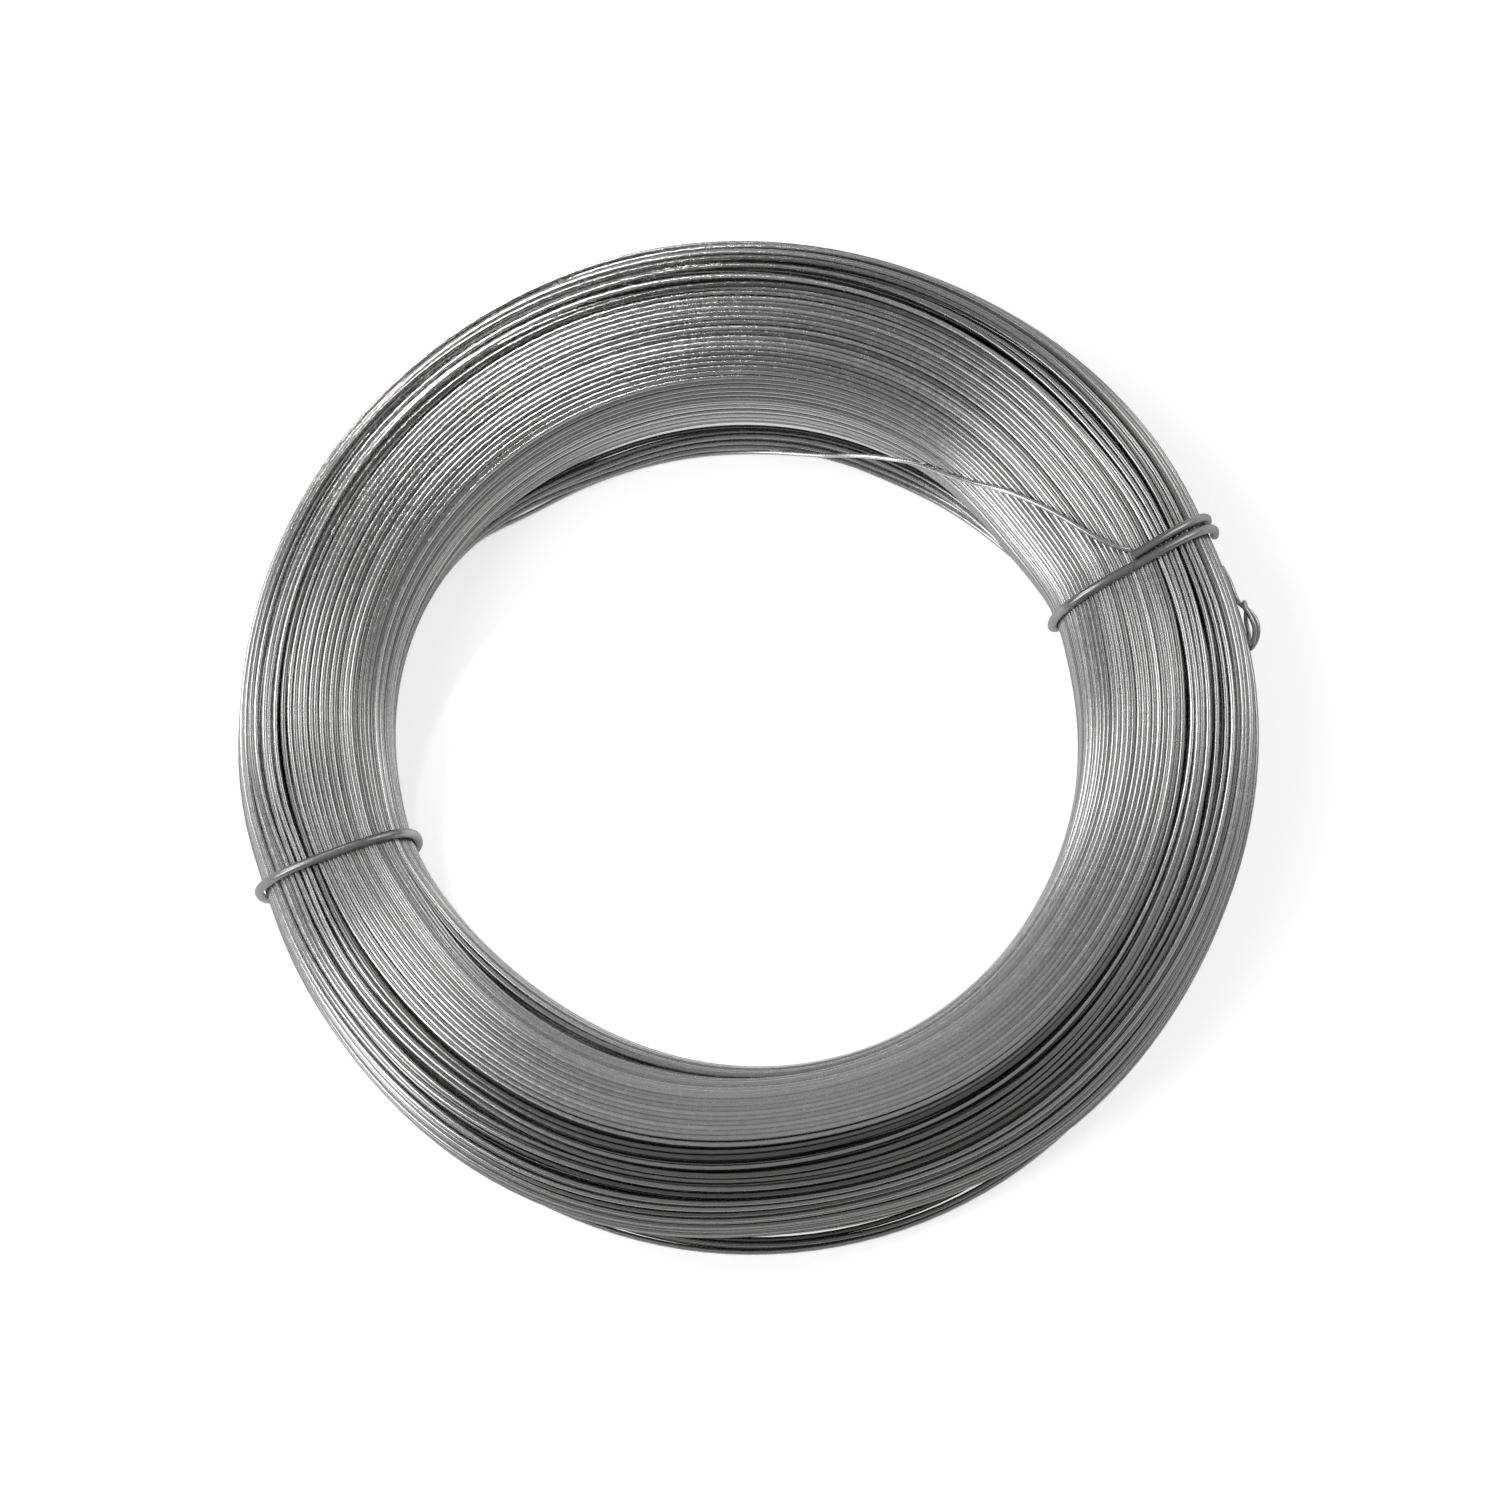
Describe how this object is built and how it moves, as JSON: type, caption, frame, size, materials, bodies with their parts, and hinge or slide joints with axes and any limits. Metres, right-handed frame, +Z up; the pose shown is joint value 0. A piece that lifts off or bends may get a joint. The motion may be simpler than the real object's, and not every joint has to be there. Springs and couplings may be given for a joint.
{
  "type": "wire coil",
  "caption": "Flat-lying coil of thin galvanized steel wire with an open bore, held by wire ties across the bundle.",
  "frame": {"origin": "on the axis of the bore, at the floor that the coil lies on", "axes": "+Z up along the bore's axis; +X to the right and +Y away from the viewer as in the picture"},
  "size_m": [0.1457, 0.145, 0.0248],
  "materials": {
    "coil_wire": "bright galvanized",
    "tie_wire": "dull galvanized"
  },
  "bodies": {
    "root": {"coil": "coil_wire", "inner_end": "coil_wire", "outer_end": "coil_wire", "left_tie": "tie_wire", "right_tie": "tie_wire"}
  },
  "joints": []
}
